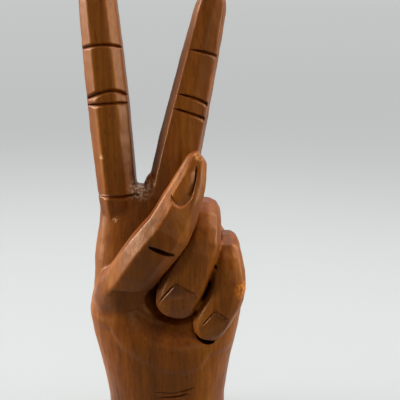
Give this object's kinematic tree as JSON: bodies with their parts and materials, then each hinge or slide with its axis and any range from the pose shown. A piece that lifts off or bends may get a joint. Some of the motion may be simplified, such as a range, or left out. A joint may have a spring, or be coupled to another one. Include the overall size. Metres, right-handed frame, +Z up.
{
  "type": "jewelry display hand",
  "caption": "Carved wooden left hand standing on its wrist, index and middle fingers raised in a V to hold rings and chains, the other fingers folded under the thumb.",
  "frame": {"origin": "middle of the flat end of the wrist, on the table", "axes": "+Z up along the hand, -Y out of the palm towards the viewer of the picture, +X towards the little finger"},
  "size_m": [0.0708, 0.049, 0.216],
  "materials": {
    "carved_wood": "satin varnish",
    "dowel_wood": "bare, glued"
  },
  "bodies": {
    "root": {"palm_and_wrist": "carved_wood", "thumb": "carved_wood", "index_finger": "carved_wood", "middle_finger": "carved_wood", "ring_finger": "carved_wood", "little_finger": "carved_wood", "thumb_dowel": "dowel_wood", "index_finger_dowel": "dowel_wood", "middle_finger_dowel": "dowel_wood", "ring_finger_dowel": "dowel_wood", "little_finger_dowel": "dowel_wood"}
  },
  "joints": []
}
